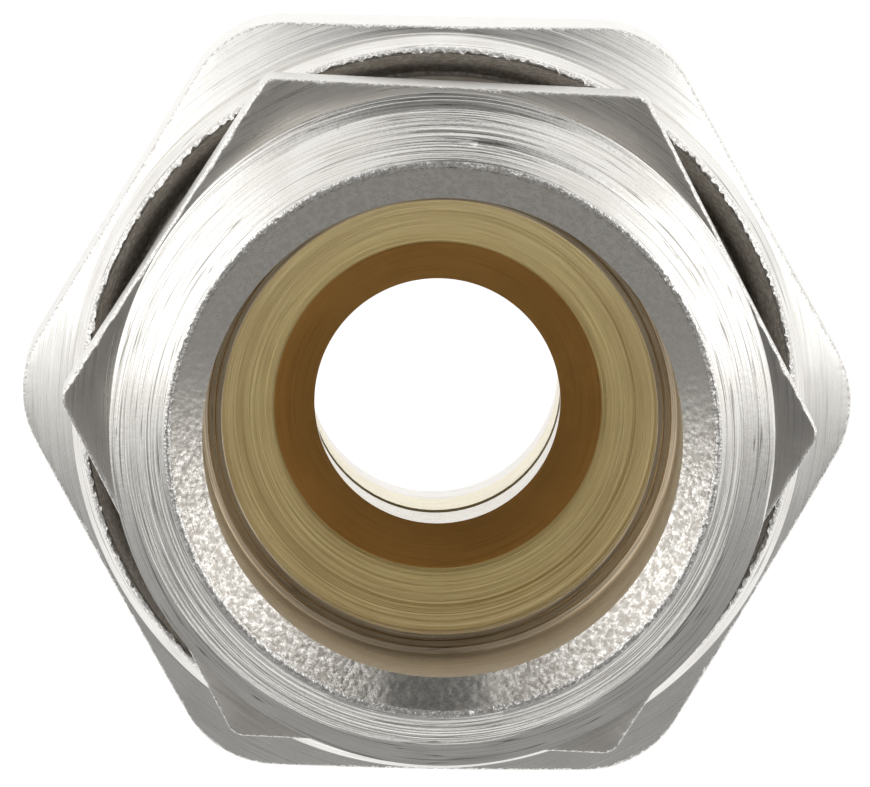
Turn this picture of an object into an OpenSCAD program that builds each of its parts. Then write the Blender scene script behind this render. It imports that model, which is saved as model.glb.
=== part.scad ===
// Reducing compression coupling: a threaded body, a reducing sleeve, an olive and a nut.
// Millimetres. The nut's nose stands on z = 0 and the open male end points up.

/* [Thread] */
// Outside diameter of the male thread, the same at both ends of the body
thread_d = 20.955; // [20:0.005:21.4]
// Radial clearance between the male thread and the nut's threaded bore
thread_clearance = 0.05; // [0.01:0.01:0.1]

/* [Coupling body] */
// Hexagon of the body across its flats
body_af = 21; // [20.4:0.1:23]
// Thickness of the body's hexagon
body_hex_h = 3.4; // [2:0.1:6]
// Turn of the body's hexagon against the nut's when the coupling is tight
body_hex_turn = -1.8; // [-30:0.1:30]
// Length of the open male end, from the hexagon to the mouth
near_len = 9; // [7:0.1:14]
// Length of the male end inside the nut, from the hexagon to its face
far_len = 10.1; // [9:0.1:12]
// Bore that takes the larger tube, the same at both ends of the body
socket_d = 15.1; // [14:0.05:15.6]
// Depth of the socket for the larger tube
near_socket_depth = 8.7; // [5:0.1:12]
// Bore of the ring that stops the larger tube
stop_d = 13.86; // [11:0.02:14]
// Thickness of that stop ring
stop_t = 1; // [0.6:0.1:2]
// Diameter of the sharp crest round each mouth
mouth_d = 17.3; // [16.4:0.1:18.2]
// Depth of the shallow cone inside each mouth
mouth_depth = 0.8; // [0.3:0.1:1.5]
// Bevel on the end of the male thread inside the nut
far_bevel = 1.2; // [0.5:0.1:1.8]
// Diameter of the relief grooves beside the hexagon
relief_d = 18.4; // [17.6:0.1:19]
// Width of the relief grooves
relief_w = 1.7; // [1:0.1:2.5]
// Bevel on the hexagon's corners
body_corner_bevel = 0.12; // [0.05:0.01:0.4]

/* [Smaller tube] */
// Outside diameter of the smaller tube
tube_d = 8; // [6:0.5:9]
// Clearance on diameter of the olive on the tube
olive_fit = 0.1; // [0.05:0.01:0.2]
// Clearance on diameter of the sleeve's socket on the tube
sleeve_fit = 0.15; // [0.1:0.01:0.3]
// Clearance on diameter of the hole in the nut's nose
nose_fit = 0.2; // [0.1:0.05:0.6]
// Height of the lip, on radius, that stops the tube in the sleeve
lip_step = 0.125; // [0.1:0.005:0.6]

/* [Reducing sleeve] */
// Clearance on diameter between the sleeve and the body's bore
sleeve_clearance = 0.1; // [0.04:0.02:0.3]
// Gap between the sleeve's end and the body's stop ring
sleeve_end_gap = 0.15; // [0.05:0.05:0.5]
// Wall of the sleeve at its thin upper mouth
sleeve_mouth_wall = 0.57; // [0.3:0.01:1.2]
// Diameter at the narrow end of the sleeve's bright funnel
funnel_d = 10.5; // [9.6:0.1:11.5]
// Length of that funnel
funnel_len = 3.7; // [2:0.1:5]
// Length of the steeper cone below the funnel
cone_len = 1.6; // [0.8:0.1:2.5]
// Length of the lip below the cone
lip_len = 0.8; // [0.4:0.1:2]
// Diameter of the sleeve's flange under the body's end
flange_d = 18.2; // [17.8:0.1:18.6]
// Thickness of the flange
flange_t = 1.3; // [1:0.1:1.6]
// Slope of the cone that squeezes the olive, measured from the axis
sleeve_cone_angle = 26; // [20:1:32]

/* [Olive] */
// Outside diameter of the olive
olive_d = 11; // [10.6:0.1:11.6]
// Width of the flat land between the olive's two cones
olive_land = 0.7; // [0.3:0.1:1.2]
// Wall left at the olive's thin edges
olive_edge = 0.3; // [0.2:0.05:0.5]
// Clearance between cones that seat on one another
seat_gap = 0.05; // [0.02:0.01:0.1]

/* [Compression nut] */
// Hexagon of the nut across its flats
nut_af = 24; // [23.8:0.1:26]
// Diameter to which the nut's corners are turned
nut_corner_d = 26.7; // [25.5:0.1:27.5]
// Height of the nut
nut_h = 15.9; // [14.8:0.1:16.4]
// Diameter of the round collar at the nut's mouth
collar_d = 23.54; // [23.2:0.02:23.8]
// Length of that collar
collar_len = 2.5; // [1.5:0.1:4]
// Height of the bevel on the collar's rim
rim_h = 0.6; // [0.2:0.1:1]
// Width of the bevel on the collar's rim
rim_w = 0.42; // [0.1:0.02:0.6]
// Slope of the turned corners, measured from the hexagon's face
corner_slope = 30; // [15:1:40]
// Diameter of the tapered mouth at the rim's sharp edge
funnel_mouth_d = 22.7; // [22:0.05:22.7]
// Depth of the tapered mouth
mouth_taper_len = 2.8; // [1.5:0.1:4]
// Thread room left below the body's end
thread_room = 0.4; // [0.2:0.1:0.8]
// Room round the sleeve's flange inside the nut, on radius
flange_room = 0.4; // [0.2:0.1:0.6]
// Length of the plain hole through the nose
nose_hole_len = 3.7; // [2:0.1:4.5]
// Height of the nut's inner floor
floor_z = 5; // [4:0.1:5.5]
// Height of the round nose behind the hexagon
nose_len = 7.7; // [7:0.1:9]
// Diameter of the nose where it leaves the hexagon
nose_d = 23.2; // [22.8:0.1:23.6]
// Wall of the nut's back round the start of its thread
back_wall = 1.0725; // [0.8:0.0025:1.2]
// Radius of the rounded end of the nose
nose_round = 4.3; // [1:0.1:4.8]
// Bevel round the hole in the nose
nose_bevel = 0.4; // [0.2:0.05:0.8]
// Bevel at the back of the nut's corners
back_bevel = 0.25; // [0.1:0.05:0.8]

/* [Hidden] */
$fn = 96;
// Cuts run past the faces that they open
cut = 1;
arc_steps = 12;

thread_r = thread_d / 2;
mouth_r = mouth_d / 2;
socket_r = socket_d / 2;
relief_r = relief_d / 2;

// Radii that follow the smaller tube
lip_r = tube_d / 2 + sleeve_fit / 2 - lip_step;
tube_socket_r = tube_d / 2 + sleeve_fit / 2;
olive_bore_r = tube_d / 2 + olive_fit / 2;
nose_hole_r = tube_d / 2 + nose_fit / 2;

// The nut's seat is a 45 degree cone that widens from the nose hole up to the floor
nut_seat_r = nose_hole_r + floor_z - nose_hole_len;

// The olive's lower cone lies parallel to that seat, and its upper cone to the sleeve's
olive_r = olive_d / 2;
olive_foot_r = olive_bore_r + olive_edge;
olive_land_z = nose_hole_len + olive_r - nose_hole_r + seat_gap / sin(45);
olive_foot_z = olive_land_z - (olive_r - olive_foot_r);
olive_land_top = olive_land_z + olive_land;
olive_top_r = olive_bore_r + olive_edge;
olive_top_z = olive_land_top + (olive_r - olive_top_r) / tan(sleeve_cone_angle);

// The sleeve's cone starts at its flange, a little below the olive's upper cone
flange_drop = 0.25;
flange_z = olive_land_top - flange_drop;
sleeve_cone_r = olive_r + seat_gap / cos(sleeve_cone_angle) + flange_drop * tan(sleeve_cone_angle);
sleeve_cone_top = flange_z + (sleeve_cone_r - tube_socket_r) / tan(sleeve_cone_angle);

// The body's lower face seats on the flange
body_z = flange_z + flange_t + seat_gap;
hex_z = body_z + far_len;
near_z = hex_z + body_hex_h;
top_z = near_z + near_len;
stop_top = top_z - near_socket_depth;
stop_z = stop_top - stop_t;
near_bevel = thread_r - mouth_r;

// The sleeve reaches up inside the body to just below the stop ring
sleeve_r = socket_r - sleeve_clearance / 2;
sleeve_top = stop_z - sleeve_end_gap;
funnel_z = sleeve_top - funnel_len;
cone_z = funnel_z - cone_len;
lip_z = cone_z - lip_len;
sleeve_shoulder_r = mouth_r - seat_gap;
sleeve_shoulder_z = body_z + mouth_depth;

nut_thread_r = thread_r + thread_clearance;
nut_thread_z = body_z - thread_room;
nut_corner_r = nut_corner_d / 2;
collar_r = collar_d / 2;
collar_z = nut_h - collar_len;
corner_z = collar_z - (nut_corner_r - collar_r) * tan(corner_slope);
nose_r = nose_d / 2;
// The nut's back grows from the nose to its own wall over a cone as long as that wall
back_r = nut_thread_r + back_wall;
back_z = nut_thread_z - back_wall;
chamber_r = flange_d / 2 + flange_room;

module hex_prism(across_flats, z, h) {
    translate([0, 0, z]) cylinder(h = h, d = across_flats / cos(30), $fn = 6);
}

// Hexagon of the body, with its corners lightly bevelled
module body_hexagon() {
    corner_r = body_af / 2 / cos(30);
    rotate([0, 0, body_hex_turn])
        intersection() {
            hex_prism(body_af, hex_z, body_hex_h);
            rotate_extrude()
                polygon([
                    [0, hex_z],
                    [corner_r - body_corner_bevel, hex_z],
                    [corner_r, hex_z + body_corner_bevel],
                    [corner_r, near_z - body_corner_bevel],
                    [corner_r - body_corner_bevel, near_z],
                    [0, near_z]
                ]);
        }
}

// The two male ends, each with a relief groove beside the hexagon
module body_ends() {
    rotate_extrude()
        polygon([
            [0, body_z],
            [thread_r - far_bevel, body_z],
            [thread_r, body_z + far_bevel],
            [thread_r, hex_z - relief_w],
            [relief_r, hex_z - relief_w],
            [relief_r, near_z + relief_w],
            [thread_r, near_z + relief_w],
            [thread_r, top_z - near_bevel],
            [mouth_r, top_z],
            [0, top_z]
        ]);
}

// Two sockets that meet at the stop ring, with a shallow cone inside each mouth
module body_bore() {
    mouth_slope = (mouth_r - socket_r) / mouth_depth;
    rotate_extrude()
        polygon([
            [0, body_z - cut],
            [mouth_r + mouth_slope * cut, body_z - cut],
            [socket_r, body_z + mouth_depth],
            [socket_r, stop_z],
            [stop_d / 2, stop_z],
            [stop_d / 2, stop_top],
            [socket_r, stop_top],
            [socket_r, top_z - mouth_depth],
            [mouth_r + mouth_slope * cut, top_z + cut],
            [0, top_z + cut]
        ]);
}

module coupling_body() {
    color([0.78, 0.76, 0.72])
        difference() {
            union() {
                body_hexagon();
                body_ends();
            }
            body_bore();
        }
}

// Unplated brass sleeve that fills the body's lower socket and carries the smaller tube
module reducing_sleeve() {
    color([0.80, 0.64, 0.34])
        rotate_extrude()
            polygon([
                [sleeve_cone_r, flange_z],
                [flange_d / 2, flange_z],
                [flange_d / 2, body_z - seat_gap],
                [sleeve_shoulder_r, body_z - seat_gap],
                [sleeve_r, sleeve_shoulder_z],
                [sleeve_r, sleeve_top],
                [sleeve_r - sleeve_mouth_wall, sleeve_top],
                [funnel_d / 2, funnel_z],
                [lip_r, cone_z],
                [lip_r, lip_z],
                [tube_socket_r, lip_z],
                [tube_socket_r, sleeve_cone_top]
            ]);
}

// Ring with two cones that the nut squeezes on to the smaller tube
module olive() {
    color([0.80, 0.62, 0.30])
        rotate_extrude()
            polygon([
                [olive_bore_r, olive_foot_z],
                [olive_foot_r, olive_foot_z],
                [olive_r, olive_land_z],
                [olive_r, olive_land_top],
                [olive_top_r, olive_top_z],
                [olive_bore_r, olive_top_z]
            ]);
}

// Outline of the nut's nose, rounded from its flat end out to its side
function nose_outline() = [
    for (i = [0:arc_steps])
        let (a = 90 * i / arc_steps)
            [nose_r - nose_round + nose_round * sin(a), nose_round - nose_round * cos(a)]
];

module nut_outside() {
    hex_top = collar_z;
    intersection() {
        hex_prism(nut_af, nose_len, hex_top - nose_len);
        rotate_extrude()
            polygon([
                [0, nose_len],
                [nut_corner_r - back_bevel, nose_len],
                [nut_corner_r, nose_len + back_bevel],
                [nut_corner_r, corner_z],
                [collar_r, collar_z],
                [0, collar_z]
            ]);
    }
    rotate_extrude()
        polygon(concat(
            [[0, 0]],
            nose_outline(),
            [
                [nose_r, back_z - back_wall],
                [back_r, back_z],
                [back_r, nose_len + cut],
                [collar_r - rim_w, nose_len + cut],
                [collar_r, nose_len + cut + rim_h],
                [collar_r, nut_h - rim_h],
                [collar_r - rim_w, nut_h],
                [0, nut_h]
            ]
        ));
}

module nut_inside() {
    taper_slope = (funnel_mouth_d / 2 - nut_thread_r) / mouth_taper_len;
    rotate_extrude()
        polygon([
            [0, -cut],
            [nose_hole_r + nose_bevel + cut, -cut],
            [nose_hole_r, nose_bevel],
            [nose_hole_r, nose_hole_len],
            [nut_seat_r, floor_z],
            [chamber_r, floor_z],
            [chamber_r, nut_thread_z],
            [nut_thread_r, nut_thread_z],
            [nut_thread_r, nut_h - mouth_taper_len],
            [funnel_mouth_d / 2 + taper_slope * cut, nut_h + cut],
            [0, nut_h + cut]
        ]);
}

module compression_nut() {
    color([0.80, 0.78, 0.74])
        difference() {
            nut_outside();
            nut_inside();
        }
}

coupling_body();
compression_nut();
reducing_sleeve();
olive();
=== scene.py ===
import math

import bmesh
import bpy
import numpy as np
from mathutils import Matrix, Vector


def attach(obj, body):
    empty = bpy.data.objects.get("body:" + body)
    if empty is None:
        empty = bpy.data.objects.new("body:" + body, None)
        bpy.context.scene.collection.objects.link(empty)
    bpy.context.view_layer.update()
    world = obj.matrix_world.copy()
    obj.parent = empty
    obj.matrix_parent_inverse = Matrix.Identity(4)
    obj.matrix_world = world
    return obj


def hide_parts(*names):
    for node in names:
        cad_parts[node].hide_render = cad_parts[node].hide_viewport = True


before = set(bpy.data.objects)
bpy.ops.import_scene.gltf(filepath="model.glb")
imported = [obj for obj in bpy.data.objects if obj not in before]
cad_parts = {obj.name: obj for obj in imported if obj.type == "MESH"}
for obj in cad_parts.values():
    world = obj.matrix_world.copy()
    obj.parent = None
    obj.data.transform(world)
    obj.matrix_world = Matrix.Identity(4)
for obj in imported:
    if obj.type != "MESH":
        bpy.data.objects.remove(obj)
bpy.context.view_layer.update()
MM = 0.001

# Sizes in millimetres, the same as the solids'
PITCH, THREAD_R, ROOT_R = 1.8143, 10.4775, 9.316
BODY_Z, HEX_Z, NEAR_Z, TOP_Z = 6.9707, 17.0707, 20.4707, 29.4707
STOP_Z, STOP_TOP = 19.7707, 20.7707
SOCKET_R, STOP_R, MOUTH_R, MOUTH_DEPTH = 7.55, 6.93, 8.65, 0.8
RELIEF_R, RELIEF_W, FAR_BEVEL = 9.2, 1.7, 1.2
BODY_AF, BODY_TURN, BODY_ROUND = 21.0, -1.8, 0.6
NUT_AF, NUT_ROUND, NUT_H = 24.0, 3.3, 15.9
COLLAR_R, COLLAR_Z, CORNER_SLOPE = 11.77, 13.4, math.radians(30)
RIM_H, RIM_R, TAPER_Z, NUT_THREAD_R, NUT_THREAD_Z = 0.6, 11.35, 13.1, 10.5275, 6.5707
NOSE_LEN, NOSE_R, NOSE_ROUND, HOLE_R, HOLE_LEN, FLOOR_Z = 7.7, 11.6, 4.3, 4.1, 3.7, 5.0
CHAMBER_R, SEAT_R, BACK_EDGE, NOSE_EDGE = 9.5, 5.4, 0.25, 0.4
FLANGE_Z, FLANGE_TOP, FLANGE_R, SLEEVE_R, SLEEVE_TOP = 5.6207, 6.9207, 9.1, 7.5, 19.6207
FUNNEL_R, FUNNEL_Z, CONE_Z, LIP_Z, LIP_R, TUBE_R = 5.25, 15.9207, 14.3207, 13.5207, 3.95, 4.075
SEAT_CONE_R, SEAT_CONE_TOP = 5.678, 8.9066
# Slope of a 55 degree thread's flanks, and how far below the root they would meet
FLANK, SHARP = math.tan(math.radians(27.5)), 0.29
# Columns round each part of a piece
NEAR, FAR, NUT, NUT_INSIDE, SLEEVE = 540, 200, 720, 240, 480


# Meshes

def wobble(angle, low, high, seed, terms=70):
    """Noise round a circle, with waves from low to high in number, about 1 high."""
    rng = np.random.default_rng(seed)
    waves = rng.integers(low, high, terms)
    phase = rng.uniform(0, 2 * math.pi, terms)
    return np.cos(np.outer(angle, waves) + phase).sum(1) / math.sqrt(terms / 2)


def soften(points, radius, steps=3):
    """A profile with each inner corner rounded to that radius, or to one of its own."""
    out = [points[0][:2]]
    for i in range(1, len(points) - 1):
        a, b, c = (np.array(points[k][:2], float) for k in (i - 1, i, i + 1))
        r = points[i][2] if len(points[i]) > 2 else radius
        u, v = a - b, c - b
        lu, lv = np.linalg.norm(u), np.linalg.norm(v)
        cut = min(r, 0.45 * lu, 0.45 * lv)
        p, q = b + u / lu * cut, b + v / lv * cut
        for t in np.linspace(0, 1, steps + 1):
            out.append(tuple((1 - t) ** 2 * p + 2 * t * (1 - t) * b + t * t * q))
    out.append(points[-1][:2])
    return out


class Shell:
    """Grids of points that become one mesh."""

    def __init__(self):
        self.points, self.faces, self.marks, self.groups = [], [], [], []
        self.count = 0

    def grid(self, angle, radius, height, mark=0, closed=True):
        """radius and height are arrays of columns by rows."""
        n, m = radius.shape
        height = np.broadcast_to(height, radius.shape)
        co = np.stack([radius * np.cos(angle), radius * np.sin(angle), height], -1) * MM
        index = self.count + np.arange(n * m).reshape(n, m)
        nxt = np.roll(index, -1, 0) if closed else index[1:]
        cur = index if closed else index[:-1]
        quads = np.stack([cur[:, :-1], nxt[:, :-1], nxt[:, 1:], cur[:, 1:]], -1)
        self.points.append(co.reshape(-1, 3))
        self.faces.append(quads.reshape(-1, 4))
        self.marks.append(np.broadcast_to(mark, quads.shape[:2]).reshape(-1))
        self.groups.append(np.full(n * m, n if closed else n - 1))
        self.count += n * m

    def turned(self, profile, columns, mark=0, rough=None):
        """A profile of radius and height turned round the axis. rough gives the noise in
        radius and height for each column and row."""
        a = np.linspace(0, 2 * math.pi, columns, endpoint=False)
        r, z = (np.tile(v, (columns, 1)) for v in np.array(profile, float).T)
        if rough is not None:
            dr, dz = rough(a, r, z)
            r, z = r + dr, z + dz
        self.grid(a[:, None], r, z, mark)

    def build(self, name, node, body, materials, angle=28):
        mesh = bpy.data.meshes.new(name)
        mesh.from_pydata(np.concatenate(self.points).tolist(), [],
                         np.concatenate(self.faces).tolist())
        mesh.polygons.foreach_set("material_index", np.concatenate(self.marks).astype(np.int32))
        for m in materials:
            mesh.materials.append(m)
        weld(mesh, np.concatenate(self.groups))
        mesh.polygons.foreach_set("use_smooth", np.ones(len(mesh.polygons), bool))
        mesh.set_sharp_from_angle(angle=math.radians(angle))
        obj = bpy.data.objects.new(name, mesh)
        bpy.context.scene.collection.objects.link(obj)
        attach(obj, body)
        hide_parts(node)
        return obj


def weld(mesh, groups):
    """Joins the grids that have the same number of columns. Others stay apart, because a point
    that they share by chance would bend the shading of both."""
    bm = bmesh.new()
    bm.from_mesh(mesh)
    verts = list(bm.verts)
    for group in np.unique(groups):
        own = [verts[i] for i in np.flatnonzero(groups == group)]
        bmesh.ops.remove_doubles(bm, verts=own, dist=1e-6)
    bmesh.ops.dissolve_degenerate(bm, edges=bm.edges, dist=5e-7)
    bmesh.ops.recalc_face_normals(bm, faces=bm.faces)
    bm.to_mesh(mesh)
    bm.free()


class Thread:
    """A 55 degree thread with flat crests. start is the height of a root's middle at angle 0."""

    def __init__(self, start, root, crest, envelope, inside=False):
        self.start, self.root, self.crest = start, root, crest
        self.envelope, self.inside = envelope, inside
        edge = SHARP * FLANK
        half = PITCH / 2
        steps = (0.08, edge, 0.19, 0.37, 0.55, half - edge - 0.03, half - edge, half - 0.07)
        self.rows = sorted([-s for s in steps] + list(steps) + [0.0]) + [half]

    def profile(self, angle, z):
        phase = z - self.start - PITCH * angle / (2 * math.pi)
        u = np.abs((phase / PITCH + 0.5) % 1.0 - 0.5) * PITCH
        return np.clip(self.root - SHARP + u / FLANK, self.root, self.crest)

    def gap(self, angle, z):
        return (self.envelope(z) - self.profile(angle, z)) * (1 if self.inside else -1)

    def radius(self, angle, z):
        pick = np.maximum if self.inside else np.minimum
        return pick(self.profile(angle, z), self.envelope(z))

    def cut(self, shell, low, high, columns, mark):
        """The thread's surface between two heights, cut to the envelope."""
        a = np.linspace(0, 2 * math.pi, columns + 1)[:, None]
        first = math.floor((low - self.start) / PITCH) - 2
        last = math.ceil((high - self.start) / PITCH) + 1
        offsets = [k * PITCH + u for k in range(first, last + 1) for u in self.rows]
        z = self.start + PITCH * a / (2 * math.pi) + np.array(offsets)[None, :]
        z = np.clip(z, low, high)
        # A row next to the envelope moves on to it, so that the groove's edge is sharp
        f = self.gap(a, z)
        for j in range(z.shape[1] - 1):
            cross = (f[:, j] * f[:, j + 1] < 0) & (z[:, j + 1] - z[:, j] > 1e-6)
            if not cross.any():
                continue
            lo, hi = z[:, j].copy(), z[:, j + 1].copy()
            for _ in range(24):
                mid = (lo + hi) / 2
                same = self.gap(a[:, 0], mid) * f[:, j] > 0
                lo, hi = np.where(same, mid, lo), np.where(same, hi, mid)
            near = cross & (lo - z[:, j] <= z[:, j + 1] - lo)
            far = cross & ~near
            z[near, j], z[far, j + 1] = lo[near], lo[far]
            f = self.gap(a, z)
        shell.grid(a, self.radius(a, z), z, mark, closed=False)

    def end_ring(self, shell, other, z, columns, mark):
        """The flat ring between another radius and the thread's outline at that height."""
        a = np.linspace(0, 2 * math.pi, columns + 1)
        edge = self.radius(a, np.full_like(a, z))
        shell.grid(a[:, None], np.stack([np.full_like(a, other), edge], 1), z, mark, closed=False)


def hex_angles(turn, count):
    """Angles round a hexagon, closer at its corners."""
    even = np.linspace(0, 60, count // 6, endpoint=False)
    near = np.linspace(-6, 6, 25) % 60
    one = np.unique(np.round(np.concatenate([even, near]), 4))
    return np.radians(((one[None, :] + 60 * np.arange(6)[:, None]).ravel() + turn) % 360)


def hex_radius(angle, across_flats, rounding, turn):
    """Distance from the axis to the side of a hexagon whose corners are rounded over."""
    from_corner = np.radians((np.degrees(angle) - turn + 30) % 60 - 30)
    cos30 = math.cos(math.radians(30))
    centre = (across_flats / 2 - rounding) / cos30
    flat = across_flats / 2 / np.cos(math.radians(30) - np.abs(from_corner))
    inside = rounding ** 2 - (centre * np.sin(from_corner)) ** 2
    arc = centre * np.cos(from_corner) + np.sqrt(np.maximum(inside, 0))
    tangent = math.atan2(rounding / 2, centre + rounding * cos30)
    return np.where(np.abs(from_corner) < tangent, arc, flat)[:, None]


# Materials

class Nodes:
    """Short calls for the nodes of a material or a world."""

    def __init__(self, owner, shader):
        self.owner = owner
        owner.use_nodes = True
        self.tree = owner.node_tree
        self.shader = self.tree.nodes[shader]

    def add(self, kind, inputs=(), **settings):
        node = self.tree.nodes.new(kind)
        for k, v in settings.items():
            setattr(node, k, v)
        for k, v in dict(inputs).items():
            self.put(node.inputs[k], v)
        return node

    def put(self, socket, value):
        if isinstance(value, bpy.types.NodeSocket):
            self.tree.links.new(value, socket)
        else:
            socket.default_value = value

    def math(self, operation, a, b=0.0, c=0.0, clamp=False):
        node = self.add("ShaderNodeMath", {0: a, 1: b, 2: c}, operation=operation)
        node.use_clamp = clamp
        return node.outputs[0]

    def span(self, value, low, high, to_low=0.0, to_high=1.0):
        """A smooth step of value, from to_low at low to to_high at high."""
        node = self.add("ShaderNodeMapRange", {0: value, 1: low, 2: high, 3: to_low, 4: to_high},
                        interpolation_type="SMOOTHSTEP")
        return node.outputs[0]

    def blend(self, share, a, b):
        node = self.add("ShaderNodeMix", {0: share, 2: a, 3: b}, data_type="FLOAT")
        return node.outputs[0]

    def mix(self, share, a, b):
        node = self.add("ShaderNodeMix", {0: share, 6: a, 7: b}, data_type="RGBA")
        return node.outputs[2]

    def place(self):
        """x, y, z, distance from the axis, and the point, in millimetres."""
        point = self.add("ShaderNodeTexCoord").outputs["Object"]
        scaled = self.add("ShaderNodeVectorMath", {0: point, "Scale": 1000.0}, operation="SCALE")
        x, y, z = self.add("ShaderNodeSeparateXYZ", {0: scaled.outputs[0]}).outputs
        square = self.math("MULTIPLY_ADD", y, y, self.math("MULTIPLY", x, x))
        return x, y, z, self.math("SQRT", square), scaled.outputs[0]

    def noise(self, vector, scale, detail=2.0, roughness=0.5):
        node = self.add("ShaderNodeTexNoise", {"Vector": vector, "Scale": scale,
                                               "Detail": detail, "Roughness": roughness})
        return node.outputs[0]

    def rings(self, place, fine, along, slope, detail=2.0):
        """Turning marks: noise that is fine across the turned surface and long round it."""
        x, y, z, r, _ = place
        across = self.math("MULTIPLY_ADD", z, slope, r)
        vector = self.add("ShaderNodeCombineXYZ", {
            0: self.math("MULTIPLY", across, fine),
            1: self.math("MULTIPLY", x, along),
            2: self.math("MULTIPLY", y, along)})
        return self.noise(vector.outputs[0], 1.0, detail)

    def bump(self, height, distance, normal=None):
        node = self.add("ShaderNodeBump", {"Height": height, "Distance": distance})
        if normal is not None:
            self.put(node.inputs["Normal"], normal)
        return node.outputs[0]

    def finish(self, metallic=1.0, anisotropic=0.0):
        self.shader.inputs["Metallic"].default_value = metallic
        if anisotropic:
            self.shader.inputs["Anisotropic"].default_value = anisotropic
            tangent = self.add("ShaderNodeTangent", direction_type="RADIAL", axis="Z")
            self.put(self.shader.inputs["Tangent"], tangent.outputs[0])
        return self.owner


def material_nodes(name):
    return Nodes(bpy.data.materials.new(name), "Principled BSDF")


def turned_metal(name, light, dark, rough, anisotropic, fine, slope, depth, grain=0.0,
                 lines=0.0):
    """Turned metal: rings, thin dark lines, a finer grain and slow changes of colour."""
    n = material_nodes(name)
    place = n.place()
    rings = n.rings(place, fine, 0.3, slope, 3.0)
    coarse = n.rings(place, 6.0, 0.10, slope, 1.5)
    slow = n.noise(place[4], 0.45, 3.0)
    speck = n.noise(place[4], 7.0, 3.0, 0.7)
    tint = n.math("ADD", n.span(slow, 0.35, 0.7, 0.0, 0.25), n.span(rings, 0.52, 0.75, 0.0, 0.45),
                  clamp=True)
    tint = n.math("ADD", tint, n.span(speck, 0.62, 0.78, 0.0, 0.35), clamp=True)
    scored = n.span(n.math("ABSOLUTE", n.math("SUBTRACT", coarse, 0.5)), 0.0, 0.022, 1.0, 0.0)
    colour = n.mix(tint, light, dark)
    if lines:
        shade = tuple(0.35 * v for v in dark[:3]) + (1,)
        colour = n.mix(n.math("MULTIPLY", scored, lines), colour, shade)
    n.put(n.shader.inputs["Base Color"], colour)
    n.put(n.shader.inputs["Roughness"], n.span(rings, 0.3, 0.7, rough * 0.8, rough * 1.25))
    normal = n.bump(rings, depth)
    if lines:
        normal = n.bump(coarse, 2.2e-5, normal)
    if grain:
        normal = n.bump(n.noise(place[4], 6.0, 4.0, 0.65), grain, normal)
    n.put(n.shader.inputs["Normal"], normal)
    return n.finish(1.0, anisotropic)


def torn_metal(name, light, dark, rough, depth, scale, metallic=1.0, calm=0.0):
    """Torn plating that glitters in small facets. calm smooths it towards +Y and near x = 0."""
    n = material_nodes(name)
    place = n.place()
    x, y = place[:2]
    cells = n.add("ShaderNodeTexVoronoi", {"Vector": place[4], "Scale": scale}, feature="F1")
    grit = n.noise(place[4], scale * 0.8, 5.0, 0.7)
    height = n.math("ADD", n.math("MULTIPLY", cells.outputs[0], 0.5), grit)
    height = n.math("ADD", height, n.math("MULTIPLY", n.rings(place, 14.0, 0.7, 0.8), 0.5))
    share = n.span(grit, 0.4, 0.66)
    if calm:
        torn = n.math("MULTIPLY", n.span(y, 2.5, -2.0), n.span(n.math("ABSOLUTE", x), 1.4, 2.8))
        strength = n.blend(torn, 1.0 - calm, 1.0)
        height = n.math("MULTIPLY", height, strength)
        share = n.blend(strength, 0.5, share)
    n.put(n.shader.inputs["Base Color"], n.mix(share, dark, light))
    n.put(n.shader.inputs["Roughness"], n.span(grit, 0.3, 0.7, rough * 1.4, rough * 0.8))
    n.put(n.shader.inputs["Normal"], n.bump(height, depth))
    return n.finish(metallic)


def drawn_metal(name, light, dark, rough, depth):
    """Drawn hexagon bar, with marks along it and a few specks."""
    n = material_nodes(name)
    point = n.place()[4]
    stretch = n.add("ShaderNodeVectorMath", {0: point, 1: (2.0, 2.0, 30.0)}, operation="MULTIPLY")
    marks = n.noise(stretch.outputs[0], 1.0, 4.0)
    speck = n.noise(point, 6.0, 3.0, 0.7)
    tint = n.math("ADD", n.span(marks, 0.45, 0.75, 0.0, 0.4), n.span(speck, 0.6, 0.75, 0.0, 0.3),
                  clamp=True)
    n.put(n.shader.inputs["Base Color"], n.mix(tint, light, dark))
    n.put(n.shader.inputs["Roughness"], n.span(marks, 0.3, 0.7, rough * 0.85, rough * 1.2))
    n.put(n.shader.inputs["Normal"], n.bump(marks, depth))
    return n.finish(1.0)


NICKEL, NICKEL_DARK = (0.80, 0.785, 0.755, 1), (0.52, 0.49, 0.45, 1)
BRASS, BRASS_DARK = (0.78, 0.70, 0.46, 1), (0.44, 0.34, 0.18, 1)
plate = turned_metal("nickel_turned", NICKEL, NICKEL_DARK, 0.30, 0.6, 16.0, -0.8, 7e-6)
bevel = turned_metal("nickel_bevel", (0.84, 0.825, 0.79, 1), NICKEL_DARK, 0.24, 0.6, 16.0, -0.8, 7e-6,
                     grain=7e-6, lines=0.8)
corner = turned_metal("nickel_corner", (0.86, 0.85, 0.82, 1), NICKEL_DARK, 0.28, 0.55, 22.0, -0.8, 4e-6,
                      lines=0.25)
face = turned_metal("nickel_faced", (0.72, 0.69, 0.65, 1), NICKEL_DARK, 0.32, 0.65, 26.0, -0.8, 3e-6,
                    grain=2.5e-6)
side = drawn_metal("nickel_flats", NICKEL, NICKEL_DARK, 0.32, 3e-6)
torn = torn_metal("nickel_torn", (0.86, 0.84, 0.80, 1), (0.45, 0.42, 0.38, 1), 0.24, 2.6e-5, 6.0,
                  calm=0.8)
burr = torn_metal("nickel_burr", (0.95, 0.94, 0.92, 1), (0.55, 0.53, 0.50, 1), 0.16, 2.0e-5, 12.0)
# Torn plating, and a lighter, duller colour than the rest that is painted light on the shaded taper and
# inner thread
mouth = torn_metal("nickel_mouth_torn_painted_light", (0.90, 0.86, 0.80, 1), (0.58, 0.52, 0.45, 1), 0.60, 2.0e-5, 6.0,
                   metallic=0.25)
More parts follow.
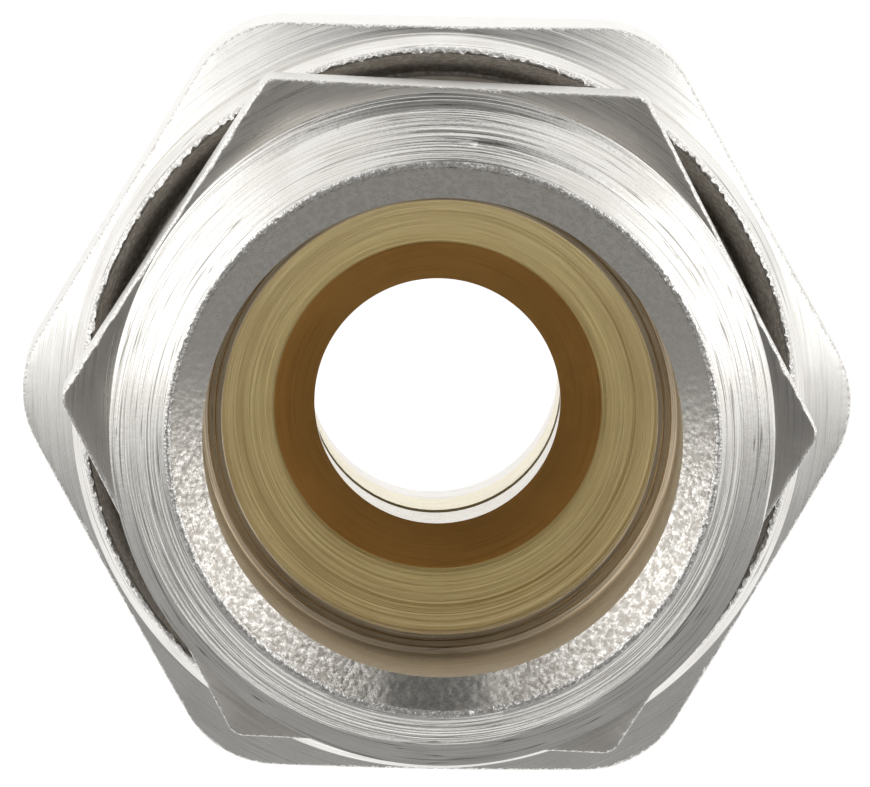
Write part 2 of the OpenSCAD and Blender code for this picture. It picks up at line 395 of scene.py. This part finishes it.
inner = turned_metal("nickel_bore", (0.66, 0.57, 0.43, 1), (0.40, 0.31, 0.20, 1), 0.32, 0.5, 20.0,
                     0.8, 8e-6, lines=0.3)
stop_face = turned_metal("stop_face", (0.68, 0.56, 0.40, 1), (0.38, 0.27, 0.15, 1), 0.30, 0.6, 12.0,
                         0.8, 1.2e-5, lines=0.4)
funnel = turned_metal("brass_funnel", BRASS, (0.60, 0.50, 0.30, 1), 0.34, 0.55, 14.0, 0.8, 7e-6,
                      grain=1.0e-6, lines=0.15)
# Darker, redder brown than the funnel, though the sleeve is one metal: painted shade and the painted
# colour of brass lit by brass
cone = turned_metal("brass_cone_painted_shade", (0.84, 0.55, 0.25, 1), (0.58, 0.35, 0.14, 1), 0.42, 0.4, 18.0, 0.8,
                    4e-6)
tube = turned_metal("brass_bright", (0.80, 0.76, 0.68, 1), (0.60, 0.52, 0.40, 1), 0.28, 0.3, 14.0,
                    0.8, 4e-6)
olive_metal = turned_metal("brass_olive", BRASS, BRASS_DARK, 0.30, 0.5, 18.0, -0.8, 6e-6)


# Coupling body

def near_envelope(z):
    """The near bevel, and the crests below it."""
    return np.minimum(THREAD_R, MOUTH_R + 0.03 + TOP_Z - z)


def far_envelope(z):
    return np.minimum(THREAD_R, THREAD_R - FAR_BEVEL + (z - BODY_Z))


def crest_rough(a, r, z):
    """The torn crest round the mouth: ragged in radius, and in height below the top."""
    row = np.arange(r.shape[1])
    weight = np.exp(-((row - 3.0) / 1.6) ** 2)
    ragged = 0.020 * wobble(a, 60, 290, 11, 160) + 0.012 * wobble(a, 5, 60, 12)
    lift = 0.016 * wobble(a, 80, 290, 13, 160)
    each = np.stack([wobble(a, 90, 290, 20 + k, 120) for k in row], 1)
    dr = ragged[:, None] * weight + 0.007 * each * (weight > 0.02)
    dz = np.minimum(lift[:, None] * weight, TOP_Z - z)
    inside = (row > 0) & (row < len(row) - 1)
    return dr * inside, dz * inside


def cone_rough(a, r, z):
    """Unevenness of the cone inside the mouth, none at its two edges."""
    row = np.arange(r.shape[1])
    inside = np.sin(np.pi * row / (len(row) - 1)) ** 0.5
    each = 0.010 * np.stack([wobble(a, 30, 280, 40 + k, 120) for k in row], 1) * inside
    return 0.6 * each, each


def make_body():
    body = Shell()
    body.turned(soften([(THREAD_R - FAR_BEVEL, BODY_Z), (MOUTH_R, BODY_Z),
                        (SOCKET_R, BODY_Z + MOUTH_DEPTH), (SOCKET_R, STOP_Z)], 0.05), FAR, 1)
    body.turned([(SOCKET_R, STOP_Z), (STOP_R, STOP_Z), (STOP_R, STOP_TOP - 0.06)], NEAR, 3)
    body.turned(soften([(STOP_R, STOP_TOP - 0.06), (STOP_R, STOP_TOP, 0.06), (7.12, STOP_TOP),
                        (7.15, STOP_TOP - 0.04), (7.34, STOP_TOP - 0.02), (7.37, STOP_TOP - 0.06),
                        (SOCKET_R, STOP_TOP)], 0.02, 2), NEAR, 4)
    body.turned([(SOCKET_R, STOP_TOP), (SOCKET_R, TOP_Z - MOUTH_DEPTH)], NEAR, 3)
    cone_rows = [(SOCKET_R + (MOUTH_R - 0.12 - SOCKET_R) * t,
                  TOP_Z - MOUTH_DEPTH + (MOUTH_DEPTH - 0.10) * t) for t in np.linspace(0, 1, 12)]
    body.turned(cone_rows, NEAR, 5, rough=cone_rough)
    crest = [cone_rows[-1], (MOUTH_R - 0.07, TOP_Z - 0.050), (MOUTH_R - 0.03, TOP_Z - 0.032),
             (MOUTH_R, TOP_Z - 0.024), (MOUTH_R + 0.03, TOP_Z - 0.028),
             (MOUTH_R + 0.06, TOP_Z - 0.045), (MOUTH_R + 0.10, TOP_Z - 0.07)]
    body.turned(crest, NEAR, 6, rough=crest_rough)
    # The near groove reaches the bevel where the photograph shows it
    near_start = TOP_Z - 0.666 + PITCH * math.radians(303.9) / (2 * math.pi)
    near = Thread(near_start, ROOT_R, THREAD_R, near_envelope)
    near.cut(body, NEAR_Z + RELIEF_W, TOP_Z - 0.07, NEAR, 7)
    near.end_ring(body, RELIEF_R, NEAR_Z + RELIEF_W, NEAR, 0)
    far = Thread(0.3, ROOT_R, THREAD_R, far_envelope)
    far.cut(body, BODY_Z, HEX_Z - RELIEF_W, FAR, 0)
    far.end_ring(body, RELIEF_R, HEX_Z - RELIEF_W, FAR, 0)
    body.turned([(RELIEF_R, HEX_Z - RELIEF_W), (RELIEF_R, HEX_Z)], FAR, 0)
    body.turned([(RELIEF_R, NEAR_Z), (RELIEF_R, NEAR_Z + RELIEF_W)], FAR, 0)

    angles = hex_angles(BODY_TURN, 360)
    edge = hex_radius(angles, BODY_AF, BODY_ROUND, BODY_TURN)
    e = 0.06 + 0.025 * np.abs(wobble(angles, 40, 250, 31, 120))[:, None]
    inner_r = np.full_like(edge, RELIEF_R)
    for z0, into in ((HEX_Z, 1), (NEAR_Z, -1)):
        r = [inner_r, (inner_r + edge) / 2, edge - 1.6 * e, edge - e, edge - 0.4 * e, edge]
        z = [z0 + into * k * e for k in (0, 0, 0, 0.12, 0.45, 1)]
        body.grid(angles[:, None], np.concatenate(r, 1), np.concatenate(z, 1), [1, 1, 1, 6, 6])
    z = np.concatenate([HEX_Z + e, HEX_Z + 0.3 + 0 * e, NEAR_Z - 0.3 + 0 * e, NEAR_Z - e], 1)
    body.grid(angles[:, None], np.repeat(edge, 4, 1), z, 2)
    body.build("coupling_body_dressed", "coupling_body", "body",
               [plate, face, side, inner, stop_face, torn, burr, bevel])


# Compression nut

def rim_rough(a, r, z):
    """The nut's torn inner edge."""
    row = np.arange(r.shape[1])
    weight = np.exp(-((row - 3.0) / 1.3) ** 2)
    ragged = 0.030 * wobble(a, 40, 300, 51, 140) + 0.022 * wobble(a, 8, 60, 52)
    each = np.stack([wobble(a, 90, 340, 60 + k, 100) for k in row], 1)
    lift = 0.02 * wobble(a, 60, 340, 53, 120)[:, None]
    inside = (row > 0) & (row < len(row) - 1)
    dr = (ragged[:, None] * weight + 0.009 * each) * inside
    return dr, np.minimum(lift * weight, NUT_H - z) * inside


def taper_rough(a, r, z):
    row = np.arange(r.shape[1])
    inside = np.sin(np.pi * row / (len(row) - 1)) ** 0.5
    each = np.stack([wobble(a, 20, 300, 80 + k, 100) for k in row], 1)
    return 0.012 * each * inside, 0 * r


def make_nut():
    nut = Shell()
    taper = (RIM_R - NUT_THREAD_R) / (NUT_H - TAPER_Z)
    taper_rows = [(NUT_THREAD_R + taper * (z - TAPER_Z), z)
                  for z in np.linspace(TAPER_Z, NUT_H - 0.25, 10)]
    nut.turned(taper_rows, NUT, 3, rough=taper_rough)
    rim = [taper_rows[-1], (RIM_R - 0.055, NUT_H - 0.17), (RIM_R - 0.03, NUT_H - 0.08),
           (RIM_R, NUT_H - 0.03), (RIM_R + 0.04, NUT_H - 0.055), (RIM_R + 0.09, NUT_H - 0.11),
           (RIM_R + 0.14, NUT_H - 0.2)]
    nut.turned(rim, NUT, 4, rough=rim_rough)
    nut.turned([rim[-1], (COLLAR_R - 0.12, NUT_H - 0.43)], NUT, 6)
    nut.turned(soften([(COLLAR_R - 0.12, NUT_H - 0.43), (COLLAR_R, NUT_H - RIM_H, 0.08),
                       (COLLAR_R, COLLAR_Z + 0.16)], 0.05), NUT, 0)
    slope = math.tan(CORNER_SLOPE)
    root = COLLAR_R + 0.1
    nut.turned(soften([(COLLAR_R, COLLAR_Z + 0.16), (COLLAR_R, COLLAR_Z, 0.1),
                       (root, COLLAR_Z - 0.1 * slope)], 0.05), NUT, 0)

    angles = hex_angles(0.0, 540)
    edge = hex_radius(angles, NUT_AF, NUT_ROUND, 0.0)
    e = 0.05 + 0.03 * np.abs(wobble(angles, 40, 300, 71, 120))[:, None]
    r = [root + (edge - e - root) * t for t in (0, 0.25, 0.5, 0.75, 1)]
    z = [COLLAR_Z - (v - COLLAR_R) * slope for v in r]
    r += [edge - 0.4 * e, edge]
    z += [z[4] - 0.5 * e, z[4] - 1.3 * e]
    nut.grid(angles[:, None], np.concatenate(r, 1), np.concatenate(z, 1), [5, 5, 5, 5, 4, 4])
    back = np.full_like(edge, NOSE_LEN)
    side_low = back + BACK_EDGE * (edge > NUT_AF / 2 / math.cos(math.radians(29)))
    near_edge = 0.15
    side_z = [z[-1], z[-1] - near_edge, side_low + near_edge, side_low]
    nut.grid(angles[:, None], np.repeat(edge, 4, 1), np.concatenate(side_z, 1), 2)
    nut.grid(angles[:, None],
             np.concatenate([edge, edge - (side_low - back), np.full_like(edge, NOSE_R)], 1),
             np.concatenate([side_low, back, back], 1), 1)

    nose = [(NOSE_R, NOSE_LEN)]
    nose += [(NOSE_R - NOSE_ROUND + NOSE_ROUND * math.sin(t), NOSE_ROUND - NOSE_ROUND * math.cos(t))
             for t in np.linspace(math.pi / 2, 0, 22)]
    nut.turned(nose, NUT_INSIDE, 0)
    nut.turned(soften([nose[-1], (HOLE_R + NOSE_EDGE, 0), (HOLE_R, NOSE_EDGE), (HOLE_R, HOLE_LEN),
                       (SEAT_R, FLOOR_Z), (CHAMBER_R, FLOOR_Z), (CHAMBER_R, NUT_THREAD_Z)], 0.03),
               NUT_INSIDE, 1)
    female = Thread(0.3, ROOT_R + 0.05, NUT_THREAD_R, lambda h: np.full_like(h, 9.42), inside=True)
    female.cut(nut, NUT_THREAD_Z, TAPER_Z, NUT_INSIDE, 3)
    female.end_ring(nut, CHAMBER_R, NUT_THREAD_Z, NUT_INSIDE, 3)
    female.end_ring(nut, NUT_THREAD_R, TAPER_Z, NUT_INSIDE, 3)
    nut.build("compression_nut_dressed", "compression_nut", "nut",
              [plate, face, side, mouth, burr, corner, bevel])


# Reducing sleeve

def make_sleeve():
    sleeve = Shell()
    slope = (STOP_R - FUNNEL_R) / (SLEEVE_TOP - FUNNEL_Z)

    def on_funnel(r, sink=0.0):
        return r, FUNNEL_Z + (r - FUNNEL_R) / slope - sink

    # Two shallow steps that the tool left near the funnel's wide end
    sleeve.turned(soften([(SLEEVE_R, 18.0), (SLEEVE_R, SLEEVE_TOP), (STOP_R, SLEEVE_TOP),
                          on_funnel(6.80), on_funnel(6.78, 0.10), on_funnel(6.52, 0.06),
                          on_funnel(6.50, 0.12), on_funnel(6.2, 0.02), on_funnel(5.9),
                          on_funnel(5.5), (FUNNEL_R, FUNNEL_Z)], 0.015), SLEEVE, 0)
    sleeve.turned(soften([(FUNNEL_R, FUNNEL_Z), (FUNNEL_R - 0.04, FUNNEL_Z - 0.05),
                          (LIP_R, CONE_Z)], 0.02), SLEEVE, 1)
    sleeve.turned(soften([(LIP_R, CONE_Z), (LIP_R, LIP_Z), (TUBE_R, LIP_Z),
                          (TUBE_R, SEAT_CONE_TOP), (SEAT_CONE_R, FLANGE_Z)], 0.03), SLEEVE, 2)
    sleeve.turned(soften([(SEAT_CONE_R, FLANGE_Z), (FLANGE_R, FLANGE_Z), (FLANGE_R, FLANGE_TOP),
                          (8.6, FLANGE_TOP), (SLEEVE_R, 7.7707), (SLEEVE_R, 18.0)], 0.05),
                  SLEEVE, 0)
    sleeve.build("reducing_sleeve_dressed", "reducing_sleeve", "sleeve", [funnel, cone, tube])


def dress_olive():
    """The olive keeps its solid's mesh."""
    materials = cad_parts["olive"].data.materials
    materials.clear()
    materials.append(olive_metal)


# Floor, world, lamps and camera

def make_floor(half=0.12):
    """A small white table. Through the bore, where no light reaches, it shows as white."""
    mesh = bpy.data.meshes.new("floor")
    z = -0.00001
    mesh.from_pydata([(-half, -half, z), (half, -half, z), (half, half, z), (-half, half, z)], [],
                     [(0, 1, 2, 3)])
    floor = bpy.data.objects.new("floor", mesh)
    bpy.context.scene.collection.objects.link(floor)
    n = material_nodes("floor_white")
    n.shader.inputs["Base Color"].default_value = (0.82, 0.82, 0.82, 1)
    n.shader.inputs["Roughness"].default_value = 0.9
    ray = n.add("ShaderNodeLightPath").outputs
    seen = n.math("MAXIMUM", n.math("MAXIMUM", ray["Is Camera Ray"], ray["Is Glossy Ray"]),
                  ray["Is Transmission Ray"])
    point = n.add("ShaderNodeNewGeometry").outputs["Position"]
    from_bore = n.add("ShaderNodeVectorMath", {0: point}, operation="LENGTH").outputs["Value"]
    glow = n.span(from_bore, 0.0042, 0.0050, 1.0, 0.66)
    light = n.add("ShaderNodeEmission", {"Strength": n.math("MULTIPLY", seen, glow)})
    both = n.add("ShaderNodeAddShader", {0: n.shader.outputs[0], 1: light.outputs[0]})
    n.put(n.tree.nodes["Material Output"].inputs[0], both.outputs[0])
    mesh.materials.append(n.owner)


def make_world():
    """A studio: white to the sides and above the picture, grey below it, with a dark gap that
    runs from behind the camera to the middle above."""
    world = bpy.data.worlds.new("studio")
    bpy.context.scene.world = world
    n = Nodes(world, "Background")
    direction = n.add("ShaderNodeTexCoord").outputs["Generated"]
    x, y, z = n.add("ShaderNodeSeparateXYZ", {0: direction}).outputs
    above = n.span(y, -0.30, 0.10, 0.34, 1.03)
    off_gap = n.math("ABSOLUTE", n.math("SUBTRACT", x, 0.05))
    off_gap = n.math("SUBTRACT", off_gap, n.math("MULTIPLY", n.math("MAXIMUM", z, 0.0), 0.20))
    clear = n.math("MAXIMUM", n.span(off_gap, 0.14, 0.27), n.span(z, 0.02, 0.06, 1.0, 0.0))
    gap = n.span(y, -0.45, 0.05, 0.34, 0.12)
    level = n.blend(clear, gap, above)
    level = n.blend(n.span(z, -0.16, -0.10), 1.0, level)
    n.put(n.shader.inputs["Strength"], level)
    n.shader.inputs["Color"].default_value = (1.0, 0.995, 0.985, 1)


def softbox(name, position, size, level):
    """A square lamp that faces the object and glows at that level."""
    data = bpy.data.lights.new(name, "AREA")
    data.shape, data.size, data.size_y = "RECTANGLE", size[0], size[1]
    data.energy = level * math.pi * size[0] * size[1]
    lamp = bpy.data.objects.new(name, data)
    lamp.location = position
    aim = Vector((0, 0, 0.018)) - Vector(position)
    lamp.rotation_euler = aim.to_track_quat("-Z", "Y").to_euler()
    bpy.context.scene.collection.objects.link(lamp)
    lamp.visible_camera = False


def make_camera():
    """Above the open end and a little towards +Y, as in the photograph."""
    distance, pixels_per_mm = 600.0, 31.9
    roll = math.radians(1.1)
    right0 = Vector((math.cos(roll), math.sin(roll), 0))
    up0 = Vector((-math.sin(roll), math.cos(roll), 0))
    back = (right0 * -0.0113 + up0 * 0.0806 + Vector((0, 0, 0.9965))).normalized()
    right = up0.cross(back).normalized()
    up = back.cross(right)
    aim = Vector((0, 0, TOP_Z)) - right * 0.25 + up * 1.458
    data = bpy.data.cameras.new("camera")
    data.sensor_width = 36.0
    data.lens = pixels_per_mm * distance * data.sensor_width / 870.0
    data.clip_start, data.clip_end = 0.01, 20.0
    camera = bpy.data.objects.new("camera", data)
    turn = Matrix((right, up, back)).transposed().to_4x4()
    camera.matrix_world = Matrix.Translation((aim + back * distance) * MM) @ turn
    bpy.context.scene.collection.objects.link(camera)
    bpy.context.scene.camera = camera


make_body()
make_nut()
make_sleeve()
dress_olive()
make_floor()
make_world()
softbox("lamp_left", (-0.42, 0.20, 0.18), (0.36, 0.42), 0.85)
softbox("lamp_right", (0.42, 0.20, 0.18), (0.32, 0.42), 0.80)
make_camera()
bpy.context.scene.view_settings.view_transform = "Standard"
